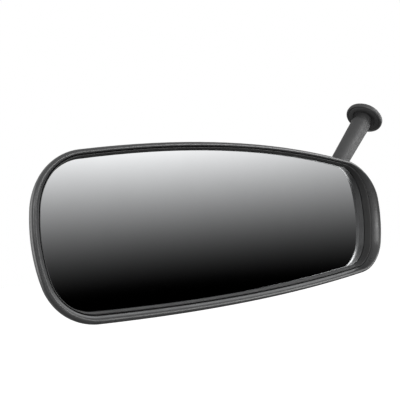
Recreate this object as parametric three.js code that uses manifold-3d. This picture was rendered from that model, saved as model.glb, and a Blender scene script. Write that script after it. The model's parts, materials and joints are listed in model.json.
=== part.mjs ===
// Interior rearview mirror: a framed glass on a ball joint, carried by a swan-neck arm
// that swivels in a round header mount.
//
// Millimetres, +Z up. The glass faces -Y and its long side runs along X. Everything is
// laid out from the middle of the head, then shifted so that the origin is the middle of
// the mount's end face.
import * as THREE from 'three';
import { mergeVertices } from 'three/addons/utils/BufferGeometryUtils.js';
import Module from 'manifold-3d';

const wasm = await Module();
wasm.setup();

// ---------------------------------------------------------------- driving dimensions

const GAP = 0.3; // clearance left between neighbouring pieces

// The visible edge of the glass is a chain of tangent arcs, from the middle of the top
// edge, clockwise, to the middle of the bottom edge. Angles are those of the outward
// normal, in degrees from straight up. The bottom radius follows from closing the chain.
const OUTLINE_ARCS = [
  { radius: 631, from: 0, to: 8.5, steps: 4 }, // bowed top edge
  { radius: 22.5, from: 8.5, to: 84, steps: 8 }, // upper corner
  { radius: 71.5, from: 84, to: 106.5, steps: 3 }, // short side
  { radius: 20.8, from: 106.5, to: 175.7, steps: 7 }, // lower corner
];
const BOTTOM_STEPS = 3;
// The frame is uneven: along the top the glass reaches further up under a thinner rim,
// and along the bottom the rim is trimmed. Between the lip and the edge these fade over.
const TOP_RISE = 3.2;
const TOP_RISE_AT_EDGE = 1.45;
const BOTTOM_TRIM = 0.35;
const RIM_LIP = 1.05;
const RIM_EDGE = 5.05;
// Up to the level height the frame stands equally far forward all round. What is above it
// is cut by the drop along the top, and its crest is shifted inward along both long sides.
const LEVEL_HEIGHT = 5.6;
const TOP_DROP = 0.6;
const CREST_SHIFT = 1.45;
const BEZEL_CREST = 7.6;
const CREST_HEIGHT = 12.4;

// Depths along Y.
const GLASS_FRONT = -2.9;
const GLASS_THICKNESS = 2;
const FOAM_THICKNESS = 2;
const CARRIER_FRONT = 1.8;
const CARRIER_THICKNESS = 4.4;
const SHELL_DEPTH = 22;
const SHELL_WALL = 1.8;
const DOME_START = 13.9; // where the flank of the shell turns into its domed back
const DOME_SHARES = [0.86, 0.66, 0.42, 0.2]; // rings of the dome, 1 at its edge

// Ball joint, on the axis through the middle of the head.
const BALL_RADIUS = 8;
const SEAT_WALL = 1.5; // liner and pressure cup
const BALL_CENTRE = new THREE.Vector3(0, 20, 0);
// Polar angles from the neck's axis at which the seats round the ball begin and end.
const LINER_OPENING = 45;
const CUP_OPENING = 47;
const HOUSING_OPENING = 49;
const SEAT_END = 96;
const FRONT_SEAT_START = 113;
const NECK_RADIUS = 3.5;
const HOUSING_RADIUS = 15;
const HOUSING_TOP = 9; // rear end of the housing, behind the ball centre
const HOUSING_FOOT_RADIUS = 21;
const FOOT_SCREW_CIRCLE = 17.6;

// Arm: a round rod bent like a swan's neck, straight where it leaves the mount.
const MOUNT_CENTRE = new THREE.Vector3(169.1, 23.5, 77.7); // middle of the flange disc
const STEM_DIRECTION = new THREE.Vector3(0.67, -0.112, 0.734).normalize();
const ROD_RADIUS = 4.5;
const ROD_START_Y = 46; // where the rod leaves the ball stud
const STEM_LENGTH = 92; // straight stretch, measured back from the flange
const SLEEVE_TOP = -5.4; // both ends of the sleeve, along the stem from the flange disc
const SLEEVE_BOTTOM = -88.5;
const SLEEVE_WIDE = 7.5;
const SLEEVE_NARROW = 5.7;

// Mount: distances along the stem from the middle of the flange disc.
const FLANGE_RADIUS = 14.5;
const FLANGE_HALF = 1.6;
const FLANGE_RECESS = 9;
const SPINDLE_NECK = 6.2;
const SPINDLE_RADIUS = 4;
const CLIP_GROOVE_RADIUS = 3;
const CLIP_GROOVE = [3.8, 4.8];
const PLUG_RADIUS = 8.2;
const PLUG_CAVITY = 6.8;
const PLUG_LENGTH = 6.6;
const PLUG_WALL = 1.3;
const LUG_REACH = 2;

// Fasteners
const SCREW_RADIUS = 1.5;
const SCREW_HEAD_RADIUS = 2.9;
const SCREW_HEAD_HEIGHT = 1.5;
const SCREW_HOLE_RADIUS = SCREW_RADIUS + GAP;
const POST_RADIUS = 3.6;
const SHELL_POSTS = [[-70, 17], [70, 17], [-70, -17], [70, -17]];

// ---------------------------------------------------------------- materials

const plain = (color, roughness, metalness = 0) =>
  new THREE.MeshStandardMaterial({ color, roughness, metalness });

const material = {
  shell: plain(0x3a3b3c, 0.5),
  rim: plain(0x363738, 0.42),
  bezel: plain(0x232425, 0.5),
  glass: plain(0xb9bcc0, 0.04, 1),
  foam: plain(0x2b2b2c, 0.95),
  steel: plain(0x9a9c9f, 0.35, 1),
  darkSteel: plain(0x3c3d3f, 0.45, 0.4),
  nylon: plain(0xd8d4c8, 0.5),
  sleeve: plain(0x3b3c3d, 0.46),
  rubber: plain(0x1b1b1c, 0.85),
};

// ---------------------------------------------------------------- solid helpers

// Merged vertices, no collapsed triangles, faces pointing out.
function closedGeometry(geometry) {
  const bare = new THREE.BufferGeometry();
  bare.setAttribute('position', geometry.getAttribute('position').clone());
  if (geometry.index) bare.setIndex(geometry.index.clone());
  const merged = mergeVertices(bare, 1e-4);
  const position = merged.getAttribute('position');
  const corner = (i) => new THREE.Vector3().fromBufferAttribute(position, i);
  const kept = [];
  let volume = 0;
  for (let i = 0; i < merged.index.count; i += 3) {
    const [a, b, c] = [0, 1, 2].map((k) => merged.index.getX(i + k));
    if (a === b || b === c || c === a) continue;
    kept.push([a, b, c]);
    volume += corner(a).dot(corner(b).cross(corner(c)));
  }
  merged.setIndex(kept.flatMap(([a, b, c]) => (volume < 0 ? [a, c, b] : [a, b, c])));
  return merged;
}

function toSolid(geometry) {
  const closed = closedGeometry(geometry);
  const vertProperties = new Float32Array(closed.getAttribute('position').array);
  const triVerts = new Uint32Array(closed.index.array);
  return new wasm.Manifold(new wasm.Mesh({ numProp: 3, vertProperties, triVerts }));
}

function fromSolid(solid) {
  const mesh = solid.getMesh();
  const geometry = new THREE.BufferGeometry();
  geometry.setAttribute('position', new THREE.BufferAttribute(mesh.vertProperties, 3));
  geometry.setIndex(new THREE.BufferAttribute(mesh.triVerts, 1));
  return geometry;
}

function cut(geometry, tools) {
  return fromSolid(tools.reduce((body, tool) => body.subtract(toSolid(tool)), toSolid(geometry)));
}

function join(geometry, extras) {
  return fromSolid(extras.reduce((body, extra) => body.add(toSolid(extra)), toSolid(geometry)));
}

// A body of revolution about Y, from [radius, y] pairs.
function turned(profile, segments = 24) {
  return new THREE.LatheGeometry(profile.map(([r, y]) => new THREE.Vector2(r, y)), segments);
}

function ringBetween(inner, outer, y0, y1, segments = 24) {
  return turned([[inner, y0], [outer, y0], [outer, y1], [inner, y1], [inner, y0]], segments);
}

// A round bar along Y at (x, z), for holes and posts.
function barAlongY(radius, y0, y1, x, z, segments = 16) {
  return new THREE.CylinderGeometry(radius, radius, y1 - y0, segments)
    .translate(x, (y0 + y1) / 2, z);
}

// Points of an arc of a profile: polar angles in degrees from +Y.
function profileArc(radius, from, to, steps) {
  return Array.from({ length: steps + 1 }, (_, i) => {
    const angle = THREE.MathUtils.degToRad(from + ((to - from) * i) / steps);
    return [radius * Math.sin(angle), radius * Math.cos(angle)];
  });
}

// Quads between rows of points; a row with a single point is a pole.
function skin(rows, wrap) {
  const points = rows.flat();
  const starts = [];
  rows.reduce((start, row) => (starts.push(start), start + row.length), 0);
  const index = [];
  const bands = wrap ? rows.length : rows.length - 1;
  for (let r = 0; r < bands; r += 1) {
    const next = (r + 1) % rows.length;
    const count = Math.max(rows[r].length, rows[next].length);
    const at = (row, k) => starts[row] + (rows[row].length === 1 ? 0 : k % count);
    for (let k = 0; k < count; k += 1) {
      index.push(at(r, k), at(r, k + 1), at(next, k + 1));
      index.push(at(r, k), at(next, k + 1), at(next, k));
    }
  }
  const geometry = new THREE.BufferGeometry().setFromPoints(points);
  geometry.setIndex(index);
  return geometry;
}

// ---------------------------------------------------------------- head outline

// Stations around the glass edge: point and outward normal, in the XZ plane.
function outlineStations() {
  const sine = (angle) => Math.sin(THREE.MathUtils.degToRad(angle));
  const cosine = (angle) => Math.cos(THREE.MathUtils.degToRad(angle));
  const last = OUTLINE_ARCS[OUTLINE_ARCS.length - 1].to;
  const reach = OUTLINE_ARCS.reduce((sum, a) => sum + a.radius * (sine(a.to) - sine(a.from)), 0);
  const bottom = { radius: reach / sine(last), from: last, to: 180, steps: BOTTOM_STEPS };
  const half = [{ x: 0, z: 0, nx: 0, nz: 1 }];
  for (const arc of [...OUTLINE_ARCS, bottom]) {
    const start = half[half.length - 1];
    for (let i = 1; i <= arc.steps; i += 1) {
      const angle = arc.from + ((arc.to - arc.from) * i) / arc.steps;
      half.push({
        x: start.x + arc.radius * (sine(angle) - sine(arc.from)),
        z: start.z + arc.radius * (cosine(angle) - cosine(arc.from)),
        nx: sine(angle),
        nz: cosine(angle),
      });
    }
  }
  const middle = half[half.length - 1].z / 2;
  half.forEach((s) => { s.z -= middle; });
  const mirrored = half.slice(1, -1).reverse().map((s) => ({ ...s, x: -s.x, nx: -s.nx }));
  return [...half, ...mirrored];
}

const STATIONS = outlineStations();

// How far a section point at a height towards the front moves out at a station, for the
// uneven top and bottom edges.
function unevenness(nz, outward, height) {
  const { clamp, lerp } = THREE.MathUtils;
  const share = clamp((outward - RIM_LIP) / (RIM_EDGE - RIM_LIP), 0, 1);
  const above = clamp((height - LEVEL_HEIGHT) / (CREST_HEIGHT - LEVEL_HEIGHT), 0, 1);
  const top = Math.max(0, nz) ** 2 * lerp(TOP_RISE, TOP_RISE_AT_EDGE, share);
  const bottom = Math.max(0, -nz) ** 2 * BOTTOM_TRIM * share;
  return top - bottom - nz ** 2 * CREST_SHIFT * above ** 2;
}

// One loop of the head: the glass edge moved outward, shrunk about the middle, at depth y.
function headLoop(outward, y, scale = 1) {
  return STATIONS.map((s) => {
    const reach = outward + unevenness(s.nz, outward, -y);
    const drop = TOP_DROP * Math.max(0, s.nz) ** 2 * Math.max(0, -y - LEVEL_HEIGHT);
    return new THREE.Vector3((s.x + s.nx * reach) * scale, y + drop, (s.z + s.nz * reach) * scale);
  });
}

const pole = (y) => [new THREE.Vector3(0, y, 0)];

// A ring whose section is a list of [outward, height towards the front] pairs.
function headRing(section) {
  return skin(section.map(([outward, height]) => headLoop(outward, -height)), true);
}

function headPlate(outward, y0, y1) {
  return skin([pole(y0), headLoop(outward, y0), headLoop(outward, y1), pole(y1)], false);
}

// ---------------------------------------------------------------- head pieces

function frontRim() {
  return headRing([
    [RIM_LIP, 3], [RIM_LIP, 7], [1.3, 8.5], [1.9, 9.9], [2.8, 11.3], [3.6, 12.1],
    [4.3, CREST_HEIGHT], [5, 12], [5.3, 10.8], [4.9, 7.8], [3.8, 5], [3, 3],
  ]);
}

// Thin frame that wraps the edge of the glass and stands in front of it as a low wall.
function glassBezel() {
  const foot = GAP - GLASS_FRONT;
  return headRing([
    [-0.3, foot], [0, 6], [0.3, BEZEL_CREST - 0.2], [0.5, BEZEL_CREST], [0.7, BEZEL_CREST - 0.3],
    [0.75, foot - 2.5], [0.2, foot - 2.5], [0.2, foot],
  ]);
}

function rearShell() {
  const flank = [
    [2.85, 2.7], [1.85, 0], [1.25, -2], [0.2, -4.6], [-1.6, -7.6], [-4.6, -10.8], [-9, -DOME_START],
  ];
  const flankInside = [
    [1.6, 2.7], [1.45, 0.2], [0.3, -0.2], [0.05, -2.4],
    [-1.4, -4.6], [-3.3, -7.2], [-6.2, -10], [-10.5, -12.6],
  ];
  const domeHeight = SHELL_DEPTH - DOME_START;
  const dome = DOME_SHARES.map((share) => [share, SHELL_DEPTH - domeHeight * share ** 2.2]);
  const flankEnd = flank[flank.length - 1][0];
  const insideEnd = flankInside[flankInside.length - 1][0];
  const outer = [
    ...flank.map(([o, h]) => headLoop(o, -h)),
    ...dome.map(([s, y]) => headLoop(flankEnd, y, s)),
    pole(SHELL_DEPTH),
  ];
  const inner = [
    ...flankInside.map(([o, h]) => headLoop(o, -h)),
    ...dome.map(([s, y]) => headLoop(insideEnd, y - SHELL_WALL, s)),
    pole(SHELL_DEPTH - SHELL_WALL),
  ];
  const dish = skin([...inner.slice().reverse(), ...outer], false);
  const postEnd = SHELL_DEPTH - 4.6;
  const postStart = CARRIER_FRONT + CARRIER_THICKNESS + GAP;
  const posts = SHELL_POSTS.map(([x, z]) => barAlongY(POST_RADIUS, postStart, postEnd, x, z, 12));
  const pilots = SHELL_POSTS.map(([x, z]) => barAlongY(SCREW_HOLE_RADIUS, 0, postStart + 7, x, z, 12));
  const housingHole = barAlongY(HOUSING_RADIUS + 0.5, 10, SHELL_DEPTH + 5, 0, 0, 28);
  return cut(join(dish, posts), [...pilots, housingHole]);
}

function mirrorGlass() {
  return headPlate(-0.1, GLASS_FRONT, GLASS_FRONT + GLASS_THICKNESS);
}

function glassFoam() {
  const start = GLASS_FRONT + GLASS_THICKNESS + GAP;
  const holes = screwPlaces().map(([x, z]) =>
    barAlongY(SCREW_HEAD_RADIUS + GAP, GLASS_FRONT, CARRIER_FRONT, x, z, 12));
  return cut(headPlate(-6, start, start + FOAM_THICKNESS), holes);
}

function carrierPlate() {
  const back = CARRIER_FRONT + CARRIER_THICKNESS;
  const holes = screwPlaces().map(([x, z]) => barAlongY(SCREW_HOLE_RADIUS, 0, back + 1, x, z, 12));
  return cut(headPlate(-5, CARRIER_FRONT, back), holes);
}

// Three screws hold the ball housing to the carrier, four hold the carrier to the shell.
function housingScrewPlaces() {
  return [90, 210, 330].map((degrees) => {
    const angle = THREE.MathUtils.degToRad(degrees);
    return [FOOT_SCREW_CIRCLE * Math.cos(angle), FOOT_SCREW_CIRCLE * Math.sin(angle)];
  });
}

function screwPlaces() {
  return [...SHELL_POSTS, ...housingScrewPlaces()];
}

// A pan-head screw whose head rests on the front of the carrier plate, driven towards +Y.
function carrierScrew(length, [x, z]) {
  const under = CARRIER_FRONT - 0.1;
  return turned([
    [0, under - SCREW_HEAD_HEIGHT], [1.9, under - SCREW_HEAD_HEIGHT],
    [SCREW_HEAD_RADIUS, under - 0.8], [SCREW_HEAD_RADIUS, under],
    [SCREW_RADIUS, under], [SCREW_RADIUS, under + length - 1], [0, under + length],
  ], 12).translate(x, 0, z);
}

// ---------------------------------------------------------------- ball joint pieces

function sphericalSeat(innerRadius, from, to) {
  const outer = profileArc(innerRadius + SEAT_WALL, from, to, 6);
  const inner = profileArc(innerRadius, to, from, 6);
  return turned([...outer, ...inner, outer[0]]).translate(...BALL_CENTRE);
}

function ballLiner() {
  return sphericalSeat(BALL_RADIUS + GAP, LINER_OPENING, SEAT_END);
}

function pressureCup() {
  return sphericalSeat(BALL_RADIUS + SEAT_WALL + 2 * GAP, CUP_OPENING, SEAT_END);
}

function ballHousing() {
  const bore = BALL_RADIUS + 2 * SEAT_WALL + 3 * GAP;
  const mouth = profileArc(bore, HOUSING_OPENING, 90, 6);
  const front = CARRIER_FRONT + CARRIER_THICKNESS + 0.1 - BALL_CENTRE.y;
  const body = turned([
    ...mouth,
    [bore, front], [HOUSING_FOOT_RADIUS, front], [HOUSING_FOOT_RADIUS, front + 2.5],
    [HOUSING_RADIUS, front + 2.5], [HOUSING_RADIUS, HOUSING_TOP - 2],
    [HOUSING_RADIUS - 1.6, HOUSING_TOP], [mouth[0][0] + 0.5, HOUSING_TOP],
    mouth[0],
  ]).translate(...BALL_CENTRE);
  const holes = housingScrewPlaces().map(([x, z]) => barAlongY(SCREW_HOLE_RADIUS, 0, 12, x, z, 12));
  return cut(body, holes);
}

// Dished button that the spring presses against the front of the ball.
function frontSeat() {
  const rim = profileArc(BALL_RADIUS + GAP, 180, FRONT_SEAT_START, 6);
  const edge = BALL_RADIUS + GAP + 1.2;
  return turned([...rim, [edge, rim[6][1]], [edge, -11], [0, -11]]).translate(...BALL_CENTRE);
}

function clampSpring() {
  return turned([[4, -11.7], [4, -11.2], [9.3, -12.6], [9.3, -13.1], [4, -11.7]])
    .translate(...BALL_CENTRE);
}

function housingTrimRing() {
  const inner = HOUSING_RADIUS + GAP;
  return turned([
    [inner, 2.4], [inner + 3.2, 2.4], [inner + 3.2, 2.8],
    [inner + 1.6, 4.2], [inner, 4.6], [inner, 2.4],
  ]).translate(...BALL_CENTRE);
}

// Ball, neck and the cup that the rod is brazed into.
function ballStud() {
  const neckStart = THREE.MathUtils.radToDeg(Math.asin(NECK_RADIUS / BALL_RADIUS));
  const top = ROD_START_Y - BALL_CENTRE.y;
  const cup = ROD_RADIUS + GAP;
  return turned([
    ...profileArc(BALL_RADIUS, 180, neckStart, 10),
    [NECK_RADIUS, top - 10], [cup + 1.7, top - 8], [cup + 1.7, top], [cup, top],
    [cup, top - 5], [0, top - 5],
  ]).translate(...BALL_CENTRE);
}

// ---------------------------------------------------------------- arm pieces

// A body of revolution on the stem axis; y is the distance along it from the flange disc.
function onStem(geometry) {
  const turn = new THREE.Quaternion().setFromUnitVectors(new THREE.Vector3(0, 1, 0), STEM_DIRECTION);
  return geometry.applyQuaternion(turn).translate(...MOUNT_CENTRE);
}

const alongStem = (distance) => MOUNT_CENTRE.clone().addScaledVector(STEM_DIRECTION, distance);

function armRod() {
  const start = new THREE.Vector3(BALL_CENTRE.x, ROD_START_Y - 4.5, BALL_CENTRE.z);
  const path = new THREE.CurvePath();
  const straightFrom = new THREE.Vector3(start.x, ROD_START_Y, start.z);
  path.add(new THREE.LineCurve3(start, straightFrom));
  path.add(new THREE.CubicBezierCurve3(
    straightFrom,
    new THREE.Vector3(straightFrom.x, straightFrom.y + 24, straightFrom.z),
    alongStem(-STEM_LENGTH - 46),
    alongStem(-STEM_LENGTH),
  ));
  path.add(new THREE.LineCurve3(alongStem(-STEM_LENGTH), alongStem(SLEEVE_TOP)));
  const section = new THREE.Shape().absarc(0, 0, ROD_RADIUS, 0, 2 * Math.PI);
  return new THREE.ExtrudeGeometry(section, { steps: 44, curveSegments: 12, extrudePath: path });
}

function stemSleeve() {
  const bore = ROD_RADIUS + GAP;
  return onStem(turned([
    [bore, SLEEVE_BOTTOM], [SLEEVE_NARROW - 0.4, SLEEVE_BOTTOM], [SLEEVE_NARROW, SLEEVE_BOTTOM + 0.4],
    [SLEEVE_WIDE, SLEEVE_TOP - 1.3], [SLEEVE_WIDE - 0.3, SLEEVE_TOP - 0.4],
    [SLEEVE_WIDE - 1.2, SLEEVE_TOP], [bore, SLEEVE_TOP], [bore, SLEEVE_BOTTOM],
  ]));
}

function sleeveFerrule() {
  const start = SLEEVE_BOTTOM - GAP;
  return onStem(turned([
    [ROD_RADIUS + GAP, start], [ROD_RADIUS + 1.6, start], [ROD_RADIUS + 1.6, start - 2.6],
    [ROD_RADIUS + 1.1, start - 3.2], [ROD_RADIUS + GAP, start - 3.2], [ROD_RADIUS + GAP, start],
  ]));
}

// Stepped pin on the end of the rod: neck, journal in the flange, groove for the clip.
function armSpindle() {
  const [grooveStart, grooveEnd] = CLIP_GROOVE;
  return onStem(turned([
    [0, SLEEVE_TOP + GAP], [SPINDLE_NECK, SLEEVE_TOP + GAP], [SPINDLE_NECK, -0.4], [SPINDLE_RADIUS, -0.4],
    [SPINDLE_RADIUS, grooveStart], [CLIP_GROOVE_RADIUS, grooveStart], [CLIP_GROOVE_RADIUS, grooveEnd],
    [SPINDLE_RADIUS - 0.2, grooveEnd], [SPINDLE_RADIUS - 0.4, grooveEnd + 0.2], [0, grooveEnd + 0.2],
  ]));
}

// ---------------------------------------------------------------- mount pieces

function flangeDisc() {
  const face = -FLANGE_HALF;
  return onStem(turned([
    [SPINDLE_RADIUS + GAP, 0], [FLANGE_RECESS - 0.6, 0], [FLANGE_RECESS, face + 0.2],
    [FLANGE_RECESS + 0.4, face],
    [12.6, face + 0.1], [13.2, face - 0.2], [13.9, face], [14.4, face + 0.6], [FLANGE_RADIUS, 0],
    [14.3, FLANGE_HALF - 0.3], [13.8, FLANGE_HALF], [SPINDLE_RADIUS + GAP, FLANGE_HALF],
    [SPINDLE_RADIUS + GAP, 0],
  ], 32));
}

function flangeGasket() {
  return onStem(ringBetween(PLUG_RADIUS + GAP, 13, FLANGE_HALF + GAP, FLANGE_HALF + GAP + 0.8));
}

// Short bayonet plug that locks into the vehicle's header; its closed end is the mount face.
function mountPlug() {
  const start = FLANGE_HALF + GAP;
  const floor = PLUG_LENGTH - PLUG_WALL;
  const cup = turned([
    [PLUG_CAVITY, start], [PLUG_RADIUS, start], [PLUG_RADIUS, PLUG_LENGTH - 0.6],
    [PLUG_RADIUS - 0.6, PLUG_LENGTH], [0, PLUG_LENGTH],
    [0, floor], [PLUG_CAVITY, floor], [PLUG_CAVITY, start],
  ]);
  const rootDepth = 0.8;
  const lugs = [1, -1].map((side) => new THREE.BoxGeometry(LUG_REACH + rootDepth, 2, 5)
    .translate(side * (PLUG_RADIUS + (LUG_REACH - rootDepth) / 2), 4, 0));
  return onStem(join(cup, lugs));
}

function thrustWasher() {
  const start = FLANGE_HALF + GAP;
  return onStem(ringBetween(SPINDLE_RADIUS + GAP, PLUG_CAVITY - GAP, start, start + 0.7));
}

function coneSpring() {
  const inner = SPINDLE_RADIUS + GAP;
  const outer = PLUG_CAVITY - 2 * GAP;
  return onStem(turned([[inner, 3.2], [inner, 3.6], [outer, 3.3], [outer, 2.9], [inner, 3.2]]));
}

// C-shaped clip in the spindle's groove.
function retainingClip() {
  const inner = CLIP_GROOVE_RADIUS + GAP;
  const ring = ringBetween(inner, inner + 2.3, CLIP_GROOVE[0] + 0.2, CLIP_GROOVE[1] - 0.2);
  const mouth = new THREE.BoxGeometry(2 * inner, 4, 2 * inner + 4).translate(0, 4, inner + 2);
  return onStem(cut(ring, [mouth]));
}

// ---------------------------------------------------------------- assembly

const mirror = new THREE.Group();

function add(name, geometry, look) {
  const mesh = new THREE.Mesh(closedGeometry(geometry), look);
  mesh.name = name;
  mirror.add(mesh);
}

add('front_rim', frontRim(), material.rim);
add('glass_bezel', glassBezel(), material.bezel);
add('mirror_glass', mirrorGlass(), material.glass);
add('glass_foam', glassFoam(), material.foam);
add('carrier_plate', carrierPlate(), material.shell);
add('rear_shell', rearShell(), material.shell);
SHELL_POSTS.forEach((place, i) => add(`shell_screw_${i + 1}`, carrierScrew(10.9, place), material.steel));
housingScrewPlaces().forEach((place, i) =>
  add(`housing_screw_${i + 1}`, carrierScrew(8.9, place), material.steel));

add('ball_housing', ballHousing(), material.shell);
add('housing_trim_ring', housingTrimRing(), material.rim);
add('front_seat', frontSeat(), material.nylon);
add('clamp_spring', clampSpring(), material.steel);
add('pressure_cup', pressureCup(), material.nylon);
add('ball_liner', ballLiner(), material.nylon);

add('ball_stud', ballStud(), material.steel);
add('arm_rod', armRod(), material.darkSteel);
add('stem_sleeve', stemSleeve(), material.sleeve);
add('sleeve_ferrule', sleeveFerrule(), material.darkSteel);
add('arm_spindle', armSpindle(), material.darkSteel);
add('retaining_clip', retainingClip(), material.steel);
add('cone_spring', coneSpring(), material.steel);

add('flange_disc', flangeDisc(), material.sleeve);
add('flange_gasket', flangeGasket(), material.rubber);
add('thrust_washer', thrustWasher(), material.nylon);
add('mount_plug', mountPlug(), material.shell);

mirror.position.copy(alongStem(PLUG_LENGTH)).negate();

export default mirror;
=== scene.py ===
"""Looks of the interior rearview mirror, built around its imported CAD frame.

Lengths inside the shape functions are millimetres in the head frame: origin in the middle
of the head, X along it, -Y out of the glass, Z up. at_head() and on_stem() turn them into
metres in the row frame.
"""
import json
import math

import bmesh
import bpy
from mathutils import Matrix, Vector


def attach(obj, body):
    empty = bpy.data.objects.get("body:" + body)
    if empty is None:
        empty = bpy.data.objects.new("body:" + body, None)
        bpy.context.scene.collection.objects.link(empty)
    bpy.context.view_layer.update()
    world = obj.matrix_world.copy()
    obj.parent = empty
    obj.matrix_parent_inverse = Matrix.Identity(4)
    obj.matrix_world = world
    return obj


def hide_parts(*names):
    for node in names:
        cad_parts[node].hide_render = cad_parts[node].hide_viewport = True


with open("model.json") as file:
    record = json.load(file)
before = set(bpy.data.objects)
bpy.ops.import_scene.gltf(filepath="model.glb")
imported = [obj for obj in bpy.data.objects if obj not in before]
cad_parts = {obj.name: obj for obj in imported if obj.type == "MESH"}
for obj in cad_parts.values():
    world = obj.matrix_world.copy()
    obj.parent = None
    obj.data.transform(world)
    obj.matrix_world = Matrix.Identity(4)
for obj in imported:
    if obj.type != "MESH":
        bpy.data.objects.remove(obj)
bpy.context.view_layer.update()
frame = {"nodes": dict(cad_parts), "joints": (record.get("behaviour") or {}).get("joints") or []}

MM = 0.001
JOINTS = {joint["name"]: joint for joint in frame["joints"]}
BALL_CENTRE = Vector(JOINTS["head_yaw"]["pos_m"])
BALL_Y = 20.0
HEAD_CENTRE = BALL_CENTRE - Vector((0, BALL_Y, 0)) * MM
STEM_DIRECTION = Vector(JOINTS["arm_swivel"]["axis"]).normalized()
PLUG_LENGTH = 6.6
DISC_CENTRE = Vector(JOINTS["arm_swivel"]["pos_m"]) - STEM_DIRECTION * PLUG_LENGTH * MM

GAP = 0.3

# Glass edge: tangent arcs of (radius, from, to), with the angles of the outward normal
# in degrees from straight up, from the middle of the top edge down the +X side.
OUTLINE_ARCS = [
    (631.0, 0.0, 8.5),
    (22.5, 8.5, 84.0),
    (71.5, 84.0, 106.5),
    (20.8, 106.5, 175.7),
]
DEGREES_PER_STATION = 3.5
LEAST_STATIONS = 10
# Along the top the glass reaches further up under a thinner rim, and along the bottom the
# rim is trimmed; between the lip and the edge these fade over.
TOP_RISE = 3.2
TOP_RISE_AT_EDGE = 1.45
BOTTOM_TRIM = 0.35
RIM_LIP = 1.05
RIM_EDGE = 5.05
# The CAD outline is made of longer straight steps; this keeps the smoother skins inside it.
SKIN_INSET = 0.04
# Up to the level height the frame stands equally far forward all round. What is above it
# is cut by the drop along the top, and its crest is shifted inward along both long sides.
LEVEL_HEIGHT = 5.6
TOP_DROP = 0.6
CREST_SHIFT = 1.45
BEZEL_CREST = 7.6
CREST_HEIGHT = 12.4

GLASS_FRONT = -2.9
GLASS_THICKNESS = 2.0

SHELL_DEPTH = 22.0
SHELL_WALL = 1.8
# Where the flank turns into the domed back: outward offsets of both faces, and the depth.
DOME_START = -9.0
DOME_START_INSIDE = -10.5
DOME_START_Y = 13.9
DOME_POWER = 2.2
DOME_ROWS = 6

BALL_RADIUS = 8.0
SEAT_WALL = 1.5
HOUSING_OPENING = 49
HOUSING_RADIUS = 15.0
# Depths of the housing, behind the centre of the ball.
HOUSING_TOP = 9.0
HOUSING_FOOT_RADIUS = 21.0
HOUSING_FOOT = -13.7
HOUSING_FOOT_TOP = -11.2
NECK_RADIUS = 3.3  # slimmer than the CAD's faceted neck, to clear the liner at full yaw
ROD_RADIUS = 4.5
ROD_START_Y = 46.0
ROD_IN_STUD = 4.5
# Reach of the bend's control points beyond the stud and below the stem.
BEND_FROM_STUD = 24
BEND_FROM_STEM = 46
STEM_LENGTH = 92.0
SLEEVE_TOP = -5.4
SLEEVE_BOTTOM = -88.5
SLEEVE_WIDE = 7.5
SLEEVE_NARROW = 5.7
ROD_PLAY = 0.15  # between the rod and what is fitted over it
FERRULE_RISE = 1.6  # over the surface of the rod
FERRULE_LENGTH = 3.2

FLANGE_RADIUS = 14.5
FLANGE_HALF = 1.6
FLANGE_RECESS = 9
SPINDLE_NECK = 6.2
SPINDLE_RADIUS = 4
CLIP_GROOVE_RADIUS = 3
CLIP_GROOVE = (3.8, 4.8)

# Camera: direction and tilt in degrees, place from the middle of the head in millimetres.
CAMERA_AZIMUTH = -38.84
CAMERA_ELEVATION = -4.41
CAMERA_ROLL = -5.31
CAMERA_RIGHT = -21.57
CAMERA_UP = 12.56
CAMERA_BACK = 271.44


# ------------------------------------------------------------------ places and curves


def at_head(x, y, z):
    return HEAD_CENTRE + Vector((x, y, z)) * MM


def along_stem(distance):
    return DISC_CENTRE + STEM_DIRECTION * distance * MM


def sine(degrees):
    return math.sin(math.radians(degrees))


def cosine(degrees):
    return math.cos(math.radians(degrees))


def outline_stations():
    """Points (x, z) with outward normals (nx, nz) round the glass edge."""
    last = OUTLINE_ARCS[-1][2]
    reach = sum(radius * (sine(end) - sine(start)) for radius, start, end in OUTLINE_ARCS)
    half = [(0.0, 0.0, 0.0, 1.0)]
    for radius, start, end in OUTLINE_ARCS + [(reach / sine(last), last, 180.0)]:
        x0, z0 = half[-1][:2]
        steps = max(LEAST_STATIONS, round((end - start) / DEGREES_PER_STATION))
        for i in range(1, steps + 1):
            angle = start + (end - start) * i / steps
            x = x0 + radius * (sine(angle) - sine(start))
            z = z0 + radius * (cosine(angle) - cosine(start))
            half.append((x, z, sine(angle), cosine(angle)))
    middle = half[-1][1] / 2
    half = [(x, z - middle, nx, nz) for x, z, nx, nz in half]
    mirrored = [(-x, z, -nx, nz) for x, z, nx, nz in reversed(half[1:-1])]
    return half + mirrored


STATIONS = outline_stations()


def clamp(value):
    return min(1.0, max(0.0, value))


def unevenness(nz, outward, y):
    """How far a section point moves out at a station."""
    share = clamp((outward - RIM_LIP) / (RIM_EDGE - RIM_LIP))
    above = clamp((-y - LEVEL_HEIGHT) / (CREST_HEIGHT - LEVEL_HEIGHT))
    top = max(0.0, nz) ** 2 * (TOP_RISE + (TOP_RISE_AT_EDGE - TOP_RISE) * share)
    bottom = max(0.0, -nz) ** 2 * BOTTOM_TRIM * share
    return top - bottom - nz**2 * CREST_SHIFT * above**2


def edge_points(outward, y):
    """(x, z) round the head, the given distance outside the glass edge, at depth y."""
    points = []
    for x, z, nx, nz in STATIONS:
        reach = outward + unevenness(nz, outward, y) - SKIN_INSET
        points.append((x + nx * reach, z + nz * reach))
    return points


def head_loop(outward, y):
    """The loop of edge_points, with its crest lowered along the top."""
    above = max(0.0, -y - LEVEL_HEIGHT)
    drops = [TOP_DROP * max(0.0, nz) ** 2 * above for _, _, _, nz in STATIONS]
    return [at_head(x, y + drop, z) for (x, z), drop in zip(edge_points(outward, y), drops)]


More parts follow.
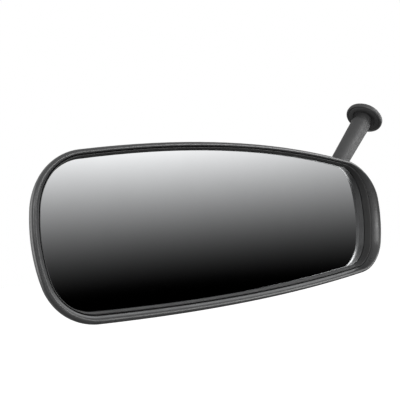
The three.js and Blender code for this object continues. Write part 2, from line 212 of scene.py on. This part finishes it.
def curve_through(points, per_span):
    """A Catmull-Rom curve through points of any dimension, ends included."""
    made = []
    last = len(points) - 1
    for i in range(last):
        a, b, c, d = (points[max(0, min(last, i + k))] for k in (-1, 0, 1, 2))
        for step in range(per_span):
            t = step / per_span
            made.append(
                0.5
                * (
                    2 * b
                    + (c - a) * t
                    + (2 * a - 5 * b + 4 * c - d) * t**2
                    + (3 * b - a - 3 * c + d) * t**3
                )
            )
    return made + [points[-1]]


def smooth_section(runs, per_span=4):
    """One closed list of section points from smooth runs that meet at sharp corners."""
    section = []
    for run in runs:
        section += curve_through([Vector(point) for point in run], per_span)[:-1]
    return section


def rounded(profile, radius, steps=4):
    """The profile with each inner corner replaced by a small curve."""
    points = [Vector(point) for point in profile]
    made = [points[0]]
    for before, corner, after in zip(points, points[1:], points[2:]):
        back = before - corner
        ahead = after - corner
        start = corner + back.normalized() * min(radius, 0.45 * back.length)
        end = corner + ahead.normalized() * min(radius, 0.45 * ahead.length)
        for i in range(steps + 1):
            t = i / steps
            made.append(start * (1 - t) ** 2 + corner * 2 * t * (1 - t) + end * t**2)
    return made + [points[-1]]


def polar_arc(radius, start, end, steps):
    """Profile points (radius, y) on a circle, with angles in degrees from +Y."""
    angles = [start + (end - start) * i / steps for i in range(steps + 1)]
    return [(radius * sine(angle), radius * cosine(angle)) for angle in angles]


# ------------------------------------------------------------------ meshes


def new_piece(name, points, faces, body, *nodes, sharp=35.0):
    """A smooth-shaded mesh that rides on body and stands for the given CAD nodes."""
    mesh = bpy.data.meshes.new(name)
    mesh.from_pydata(points, [], faces)
    work = bmesh.new()
    work.from_mesh(mesh)
    bmesh.ops.remove_doubles(work, verts=work.verts, dist=1e-7)
    bmesh.ops.recalc_face_normals(work, faces=work.faces)
    work.to_mesh(mesh)
    work.free()
    mesh.shade_smooth()
    mesh.set_sharp_from_angle(angle=math.radians(sharp))
    piece = bpy.data.objects.new(name, mesh)
    bpy.context.scene.collection.objects.link(piece)
    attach(piece, body)
    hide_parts(*nodes)
    return piece


def skin(rows, closed_section=False):
    """Points and faces between rows; a row with a single point is a pole."""
    points = [point for row in rows for point in row]
    starts = [sum(len(row) for row in rows[:i]) for i in range(len(rows))]
    faces = []
    bands = len(rows) if closed_section else len(rows) - 1
    for r in range(bands):
        n = (r + 1) % len(rows)
        count = max(len(rows[r]), len(rows[n]))
        for k in range(count):
            corners = []
            for row, step in ((r, k), (r, k + 1), (n, k + 1), (n, k)):
                corner = starts[row] + step % len(rows[row])
                if corner not in corners:
                    corners.append(corner)
            faces.append(corners)
    return points, faces


def turned(profile, place, segments=72):
    """A body of revolution: place(x, y, z) gives the row point of a local point."""
    rows = []
    for radius, y in profile:
        if radius < 1e-6:
            rows.append([place(0, y, 0)])
            continue
        angles = [2 * math.pi * k / segments for k in range(segments)]
        rows.append([place(radius * math.cos(a), y, radius * math.sin(a)) for a in angles])
    return skin(rows)


def on_ball(x, y, z):
    return BALL_CENTRE + Vector((x, y, z)) * MM


STEM_TURN = Vector((0, 1, 0)).rotation_difference(STEM_DIRECTION)


def on_stem(x, y, z):
    return DISC_CENTRE + (STEM_TURN @ Vector((x, y, z))) * MM


# ------------------------------------------------------------------ head


def front_rim():
    section = smooth_section(
        [
            [(3, 3), (RIM_LIP, 3)],
            [(RIM_LIP, 3), (RIM_LIP, 7), (1.3, 8.5), (1.9, 9.9), (2.8, 11.3), (3.6, 12.1),
             (4.3, CREST_HEIGHT), (5, 12), (5.3, 10.8), (4.9, 7.8), (3.8, 5), (3, 3)],
        ]
    )
    rows = [head_loop(outward, -height) for outward, height in section]
    return new_piece("front_rim_skin", *skin(rows, True), "head", "front_rim")


def glass_bezel():
    foot = GAP - GLASS_FRONT
    section = smooth_section(
        [
            [(0.2, foot), (-0.3, foot)],
            [(-0.3, foot), (-0.15, 4.6), (0, 6), (0.25, BEZEL_CREST - 0.25), (0.5, BEZEL_CREST),
             (0.72, BEZEL_CREST - 0.3), (0.75, foot)],
            [(0.75, foot), (0.75, foot - 2.5)],
            [(0.75, foot - 2.5), (0.2, foot - 2.5)],
            [(0.2, foot - 2.5), (0.2, foot)],
        ]
    )
    rows = [head_loop(outward, -height) for outward, height in section]
    return new_piece("glass_bezel_skin", *skin(rows, True), "head", "glass_bezel")


def mirror_glass():
    back = GLASS_FRONT + GLASS_THICKNESS
    edge = [(-0.5, GLASS_FRONT), (-0.1, GLASS_FRONT + 0.3), (-0.1, back - 0.3), (-0.5, back)]
    rows = [head_loop(outward, y) for outward, y in rounded(edge, 0.2)]
    rows = [[at_head(0, GLASS_FRONT, 0)]] + rows + [[at_head(0, back, 0)]]
    return new_piece("mirror_glass_plate", *skin(rows), "head", "mirror_glass", sharp=12)


def dome_height(share):
    """Depth of the shell's back, from its middle (0) to where the flank starts (1)."""
    return SHELL_DEPTH - (SHELL_DEPTH - DOME_START_Y) * share**DOME_POWER


def dome_rows(outward, wall, count):
    """Rows from the flank over the domed back to the round hole for the ball housing."""
    rows = []
    hole = HOUSING_RADIUS + 0.5
    for i in range(1, count + 1):
        row = []
        for x, z in edge_points(outward, DOME_START_Y):
            share = 1 + (hole / math.hypot(x, z) - 1) * i / count
            row.append(at_head(x * share, dome_height(share) - wall, z * share))
        rows.append(row)
    return rows


def rear_shell():
    """Flank and inside are (outward, height towards the front); the dome joins onto both."""
    flank = [
        (2.85, 2.7), (1.85, 0), (1.25, -2), (0.2, -4.6), (-1.6, -7.6), (-4.6, -10.8),
        (DOME_START, -DOME_START_Y),
    ]
    inside = [
        (DOME_START_INSIDE, -12.6), (-6.2, -10), (-3.3, -7.2), (-1.4, -4.6), (0.05, -2.4),
        (0.3, -0.2), (1.45, 0.2), (1.6, 2.7),
    ]
    control = [head_loop(outward, -height) for outward, height in flank]
    control += dome_rows(DOME_START, 0, DOME_ROWS)
    curves = [curve_through(list(meridian), 4) for meridian in zip(*control)]
    outer = [list(row) for row in zip(*curves)]
    inner = dome_rows(DOME_START_INSIDE, SHELL_WALL, DOME_ROWS)[::-1]
    inner += [head_loop(outward, -height) for outward, height in inside]
    return new_piece("rear_shell_skin", *skin(outer + inner, True), "head", "rear_shell")


def ball_housing():
    bore = BALL_RADIUS + 2 * SEAT_WALL + 3 * GAP
    mouth = polar_arc(bore, HOUSING_OPENING, 90, 10)
    outer = rounded(
        [
            (bore, HOUSING_FOOT),
            (HOUSING_FOOT_RADIUS, HOUSING_FOOT),
            (HOUSING_FOOT_RADIUS, HOUSING_FOOT_TOP),
            (HOUSING_RADIUS, HOUSING_FOOT_TOP),
            (HOUSING_RADIUS, HOUSING_TOP - 2),
            (HOUSING_RADIUS - 1.6, HOUSING_TOP),
            (mouth[0][0] + 0.5, HOUSING_TOP),
            mouth[0],
        ],
        0.7,
    )
    profile = [Vector(point) for point in mouth[:0:-1]] + outer[::-1]
    return new_piece("ball_housing_skin", *turned(profile, on_ball), "head", "ball_housing")


def housing_trim_ring():
    inner = HOUSING_RADIUS + GAP
    corners = [
        (inner, 2.4), (inner + 3.2, 2.4), (inner + 3.2, 2.9), (inner + 1.6, 4.2), (inner, 4.6),
    ]
    outer = rounded(corners, 0.5)
    ring = turned(outer + [outer[0]], on_ball, 96)
    return new_piece("trim_ring_skin", *ring, "head", "housing_trim_ring")


# ------------------------------------------------------------------ arm


def ball_stud():
    neck_start = math.degrees(math.asin(NECK_RADIUS / BALL_RADIUS))
    top = ROD_START_Y - BALL_Y
    cup = ROD_RADIUS + GAP
    neck = polar_arc(BALL_RADIUS, 180, neck_start, 28)
    rest = rounded(
        [neck[-1], (NECK_RADIUS, top - 10), (cup + 1.7, top - 8), (cup + 1.7, top), (cup, top),
         (cup, top - 5), (0, top - 5)],
        0.8,
    )
    return new_piece("ball_stud_skin", *turned(neck[:-1] + rest, on_ball), "arm", "ball_stud")


def arm_path():
    """Centre line of the rod: out of the stud, round the bend, up the stem."""
    start = at_head(0, ROD_START_Y - ROD_IN_STUD, 0)
    a = at_head(0, ROD_START_Y, 0)
    b = at_head(0, ROD_START_Y + BEND_FROM_STUD, 0)
    c = along_stem(-STEM_LENGTH - BEND_FROM_STEM)
    d = along_stem(-STEM_LENGTH)
    bend = []
    steps = 64
    for i in range(steps):
        t = i / steps
        bend.append(a * (1 - t) ** 3 + b * 3 * t * (1 - t) ** 2 + c * 3 * t**2 * (1 - t) + d * t**3)
    return [start] + bend + [d, along_stem(SLEEVE_TOP)]


def arm_rod():
    path = arm_path()
    sides = 40
    angles = [2 * math.pi * k / sides for k in range(sides)]
    across = Vector((1, 0, 0))
    rows = [[path[0]]]
    for i, point in enumerate(path):
        ahead = (path[min(i + 1, len(path) - 1)] - path[max(i - 1, 0)]).normalized()
        across = (across - ahead * across.dot(ahead)).normalized()
        side = ahead.cross(across)
        ring = [across * math.cos(a) + side * math.sin(a) for a in angles]
        rows.append([point + spoke * ROD_RADIUS * MM for spoke in ring])
    rows.append([path[-1]])
    return new_piece("arm_rod_skin", *skin(rows), "arm", "arm_rod")


def stem_sleeve():
    bore = ROD_RADIUS + ROD_PLAY
    corners = [
        (bore, SLEEVE_BOTTOM + 1),
        (bore, SLEEVE_BOTTOM),
        (SLEEVE_NARROW, SLEEVE_BOTTOM),
        (SLEEVE_WIDE, SLEEVE_TOP - 1.6),
        (SLEEVE_WIDE - 0.6, SLEEVE_TOP),
        (bore, SLEEVE_TOP),
        (bore, SLEEVE_TOP - 1),
    ]
    profile = rounded(corners, 0.9, 6)
    tube = turned(profile + [profile[0]], on_stem, 80)
    return new_piece("stem_sleeve_skin", *tube, "arm", "stem_sleeve")


def sleeve_ferrule():
    start = SLEEVE_BOTTOM - GAP
    end = start - FERRULE_LENGTH
    bore = ROD_RADIUS + ROD_PLAY
    outer = ROD_RADIUS + FERRULE_RISE
    profile = rounded([(bore, start), (outer, start), (outer, end), (bore, end)], 0.5)
    tube = turned(profile + [profile[0]], on_stem)
    return new_piece("ferrule_skin", *tube, "arm", "sleeve_ferrule")


def arm_spindle():
    """Neck, journal in the flange, groove for the clip and a small bevelled end."""
    start = SLEEVE_TOP + GAP
    groove_start, groove_end = CLIP_GROOVE
    profile = [
        (0, start), (SPINDLE_NECK, start), (SPINDLE_NECK, -0.4), (SPINDLE_RADIUS, -0.4),
        (SPINDLE_RADIUS, groove_start), (CLIP_GROOVE_RADIUS, groove_start),
        (CLIP_GROOVE_RADIUS, groove_end), (3.8, groove_end), (3.6, 5), (0, 5),
    ]
    return new_piece("spindle_skin", *turned(rounded(profile, 0.25), on_stem), "arm", "arm_spindle")


# ------------------------------------------------------------------ mount


def flange_disc():
    """Recess round the spindle, a groove, the raised lip and the flat back."""
    face = -FLANGE_HALF
    bore = SPINDLE_RADIUS + GAP
    profile = [
        (bore, 0), (8.4, 0), (FLANGE_RECESS, face + 0.2), (9.4, face), (11.8, face),
        (12.3, face + 0.5), (12.8, face - 0.1), (13.2, face - 0.2), (13.9, face),
        (14.4, face + 0.6), (FLANGE_RADIUS, 0), (14.3, FLANGE_HALF - 0.3), (13.8, FLANGE_HALF),
        (bore, FLANGE_HALF), (bore, 0),
    ]
    disc_mesh = turned(rounded(profile, 0.35), on_stem, 96)
    return new_piece("flange_disc_skin", *disc_mesh, "mount", "flange_disc")


# ------------------------------------------------------------------ materials


def node(tree, kind, inputs=(), **settings):
    made = tree.nodes.new(kind)
    for key, value in settings.items():
        setattr(made, key, value)
    for key, value in dict(inputs).items():
        if isinstance(value, bpy.types.NodeSocket):
            tree.links.new(value, made.inputs[key])
        else:
            made.inputs[key].default_value = value
    return made


def noise(tree, scale, detail=3.0):
    coords = node(tree, "ShaderNodeTexCoord").outputs["Object"]
    made = node(tree, "ShaderNodeTexNoise", {"Vector": coords, "Scale": scale, "Detail": detail})
    return made.outputs["Fac"]


def spread(tree, value, low, high, from_low=0.3, from_high=0.7):
    """value, which a noise keeps between from_low and from_high, mapped onto low to high."""
    inputs = {
        "Value": value,
        "From Min": from_low,
        "From Max": from_high,
        "To Min": low,
        "To Max": high,
    }
    return node(tree, "ShaderNodeMapRange", inputs).outputs["Result"]


def two_tone(tree, value, dark, light):
    made = node(tree, "ShaderNodeMix", {"Factor": value}, data_type="RGBA")
    made.inputs["A"].default_value = (*dark, 1)
    made.inputs["B"].default_value = (*light, 1)
    return made.outputs["Result"]


def finish_material(name, colour, variation, roughness, roughness_spread, grain, depth, metallic=0.0):
    """Base of every finish: cloudy colour, uneven roughness and a fine grain in the surface.

    grain is the number of grains per metre and depth their height in millimetres."""
    material = bpy.data.materials.new(name)
    material.use_nodes = True
    tree = material.node_tree
    shader = tree.nodes["Principled BSDF"]
    dark = tuple(c * (1 - variation) for c in colour)
    light = tuple(c * (1 + variation) for c in colour)
    cloud = spread(tree, noise(tree, 60), 0, 1)
    tree.links.new(two_tone(tree, cloud, dark, light), shader.inputs["Base Color"])
    patch = spread(tree, noise(tree, 170), roughness - roughness_spread, roughness + roughness_spread)
    tree.links.new(patch, shader.inputs["Roughness"])
    fine = noise(tree, grain, 2)
    bump = node(tree, "ShaderNodeBump", {"Height": fine, "Strength": 1.0, "Distance": depth * MM})
    tree.links.new(bump.outputs["Normal"], shader.inputs["Normal"])
    shader.inputs["Metallic"].default_value = metallic
    return material


def mirror_finish():
    return finish_material("silvered_glass", (0.84, 0.85, 0.86), 0.01, 0.03, 0.008, 900, 0.0, 1.0)


def grey(level, cool=0.01):
    return (level * (1 - cool), level, level * (1 + cool))


def apply(material, pieces):
    for piece in pieces:
        piece.data.materials.clear()
        piece.data.materials.append(material)


# ------------------------------------------------------------------ studio


def pale_floor():
    mesh = bpy.data.meshes.new("floor")
    size = 12.0
    level = HEAD_CENTRE.z - 0.75
    corners = [(-size, -size, level), (size, -size, level), (size, size, level), (-size, size, level)]
    mesh.from_pydata(corners, [], [(0, 1, 2, 3)])
    floor = bpy.data.objects.new("floor", mesh)
    bpy.context.scene.collection.objects.link(floor)
    paper = finish_material("floor_paper", (0.93, 0.93, 0.93), 0.01, 0.9, 0.02, 200, 0.02)
    shader = paper.node_tree.nodes["Principled BSDF"]
    shader.inputs["Emission Color"].default_value = (1, 1, 1, 1)
    shader.inputs["Emission Strength"].default_value = 0.6
    floor.data.materials.append(paper)
    floor.visible_diffuse = False
    floor.visible_glossy = False


def gradient_card():
    """A curved card seen only in reflections: pale above, black level with the glass."""
    radius, low, high = 1.2, -0.9, 0.9
    rows = []
    for height in (low, high):
        angles = [math.radians(-85 + 180 * k / 60) for k in range(61)]
        rows.append([
            HEAD_CENTRE + Vector((radius * math.sin(a), -radius * math.cos(a), height)) for a in angles
        ])
    count = len(rows[0])
    faces = [(k, k + 1, count + k + 1, count + k) for k in range(count - 1)]
    mesh = bpy.data.meshes.new("gradient_card")
    mesh.from_pydata(rows[0] + rows[1], [], faces)
    card = bpy.data.objects.new("gradient_card", mesh)
    bpy.context.scene.collection.objects.link(card)
    card.data.materials.append(card_glow())
    for ray in ("camera", "diffuse", "transmission", "volume_scatter", "shadow"):
        setattr(card, "visible_" + ray, False)


def card_glow():
    material = bpy.data.materials.new("card_glow")
    material.use_nodes = True
    tree = material.node_tree
    tree.nodes.remove(tree.nodes["Principled BSDF"])
    coords = node(tree, "ShaderNodeTexCoord").outputs["Object"]
    height = node(tree, "ShaderNodeSeparateXYZ", {"Vector": coords}).outputs["Z"]
    level = HEAD_CENTRE.z
    above = spread(tree, height, 0, 1.15, level - 0.155, level + 0.2935)
    upper = node(tree, "ShaderNodeMath", {0: above, 1: 2.4}, operation="POWER").outputs[0]
    below = spread(tree, height, 0.5, 0, level - 0.9, level - 0.2)
    total = node(tree, "ShaderNodeMath", {0: upper, 1: below}, operation="ADD").outputs[0]
    strength = node(tree, "ShaderNodeMath", {0: total, 1: 0.9}, operation="MULTIPLY").outputs[0]
    glow = node(tree, "ShaderNodeEmission", {"Strength": strength})
    tree.links.new(glow.outputs["Emission"], tree.nodes["Material Output"].inputs["Surface"])
    return material


def studio_world():
    """White behind the object; as light it is pale above and dim below."""
    world = bpy.data.worlds.new("studio")
    world.use_nodes = True
    tree = world.node_tree
    coords = node(tree, "ShaderNodeTexCoord").outputs["Generated"]
    height = node(tree, "ShaderNodeSeparateXYZ", {"Vector": coords}).outputs["Z"]
    dim = spread(tree, height, 0.12, 0.6, -0.6, 0.8)
    seen = node(tree, "ShaderNodeLightPath").outputs["Is Camera Ray"]
    strength = node(tree, "ShaderNodeMath", {0: dim, 1: seen}, operation="MAXIMUM").outputs[0]
    tree.links.new(strength, tree.nodes["Background"].inputs["Strength"])
    tree.nodes["Background"].inputs["Color"].default_value = (1, 1, 1, 1)
    bpy.context.scene.world = world


def kept_from(piece):
    """A collection that keeps a light off one piece."""
    group = bpy.data.collections.new("kept_from_" + piece.name)
    group.objects.link(piece)
    group.collection_objects[0].light_linking.link_state = "EXCLUDE"
    return group


def softbox(name, direction, distance, width, height, radiance, spared):
    """A rectangular light aimed at the head; its power gives the wanted radiance."""
    aim = Vector(direction).normalized()
    light = bpy.data.lights.new(name, "AREA")
    light.shape = "RECTANGLE"
    light.size = width
    light.size_y = height
    light.energy = radiance * math.pi * width * height
    lamp = bpy.data.objects.new(name, light)
    lamp.location = HEAD_CENTRE + aim * distance
    lamp.rotation_mode = "QUATERNION"
    lamp.rotation_quaternion = (-aim).to_track_quat("-Z", "Y")
    lamp.light_linking.receiver_collection = spared
    bpy.context.scene.collection.objects.link(lamp)


def make_camera():
    """The photograph's viewpoint: from the left and slightly below, tilted a little."""
    level = cosine(CAMERA_ELEVATION)
    back = Vector((
        sine(CAMERA_AZIMUTH) * level,
        -cosine(CAMERA_AZIMUTH) * level,
        sine(CAMERA_ELEVATION),
    ))
    level_right = (-back).cross(Vector((0, 0, 1))).normalized()
    level_up = level_right.cross(-back)
    right = level_right * cosine(CAMERA_ROLL) + level_up * sine(CAMERA_ROLL)
    up = level_up * cosine(CAMERA_ROLL) - level_right * sine(CAMERA_ROLL)
    data = bpy.data.cameras.new("camera")
    data.lens = 45.0
    data.sensor_width = 36.0
    data.clip_start = 0.01
    camera = bpy.data.objects.new("camera", data)
    place = HEAD_CENTRE + (right * CAMERA_RIGHT + up * CAMERA_UP + back * CAMERA_BACK) * MM
    camera.matrix_world = Matrix.Translation(place) @ Matrix((right, up, back)).transposed().to_4x4()
    bpy.context.scene.collection.objects.link(camera)
    bpy.context.scene.camera = camera


# ------------------------------------------------------------------ the whole scene

rim, bezel, glass, shell = front_rim(), glass_bezel(), mirror_glass(), rear_shell()
housing, trim_ring = ball_housing(), housing_trim_ring()
stud, rod, sleeve = ball_stud(), arm_rod(), stem_sleeve()
ferrule, spindle = sleeve_ferrule(), arm_spindle()
disc = flange_disc()

cad = frame["nodes"]
screws = [cad[name] for name in sorted(cad) if "_screw_" in name]
shell_plastic = finish_material("shell_plastic", grey(0.045), 0.08, 0.45, 0.05, 1400, 0.04)
rim_plastic = finish_material("rim_plastic", grey(0.032), 0.06, 0.3, 0.04, 1400, 0.015)
bezel_plastic = finish_material("bezel_plastic", grey(0.012), 0.08, 0.6, 0.05, 1400, 0.02)
sleeve_plastic = finish_material("sleeve_plastic", grey(0.035), 0.06, 0.55, 0.04, 1400, 0.03)
coated = finish_material("powder_coat", grey(0.03), 0.08, 0.45, 0.05, 1000, 0.06)
steel = finish_material("zinc_steel", grey(0.55), 0.08, 0.3, 0.06, 2500, 0.01, 1.0)
nylon = finish_material("natural_acetal", (0.72, 0.69, 0.6), 0.04, 0.45, 0.05, 800, 0.02)
foam = finish_material("open_cell_foam", grey(0.03), 0.3, 0.92, 0.04, 1600, 0.4)
rubber = finish_material("matt_rubber", grey(0.015), 0.15, 0.85, 0.05, 900, 0.05)

apply(shell_plastic, [shell, housing, cad["carrier_plate"], cad["mount_plug"]])
apply(rim_plastic, [rim, trim_ring])
apply(bezel_plastic, [bezel])
apply(mirror_finish(), [glass])
apply(foam, [cad["glass_foam"]])
apply(steel, [stud, cad["clamp_spring"], cad["retaining_clip"], cad["cone_spring"]])
apply(steel, screws)
apply(coated, [rod, ferrule, spindle])
nylon_nodes = ("front_seat", "pressure_cup", "ball_liner", "thrust_washer")
apply(nylon, [cad[name] for name in nylon_nodes])
apply(sleeve_plastic, [sleeve, disc])
apply(rubber, [cad["flange_gasket"]])

studio_world()
pale_floor()
gradient_card()
spared = kept_from(glass)
softbox("front_upper_softbox", (0.6, -0.68, 0.42), 1.0, 0.8, 0.3, 7.0, spared)
softbox("front_lower_softbox", (0.6, -0.68, -0.36), 1.0, 0.8, 0.3, 7.0, spared)
softbox("right_softbox", (0.97, -0.2, 0.1), 1.0, 0.25, 0.7, 3.0, spared)
softbox("left_softbox", (-0.75, -0.65, 0.1), 1.2, 1.0, 0.9, 5.5, spared)
softbox("back_left_softbox", (-0.63, 0.78, 0.1), 1.2, 0.8, 0.9, 1.6, spared)
softbox("back_right_softbox", (0.78, 0.63, 0.1), 1.2, 0.5, 0.9, 1.5, spared)
make_camera()
bpy.context.scene.view_settings.view_transform = "Standard"
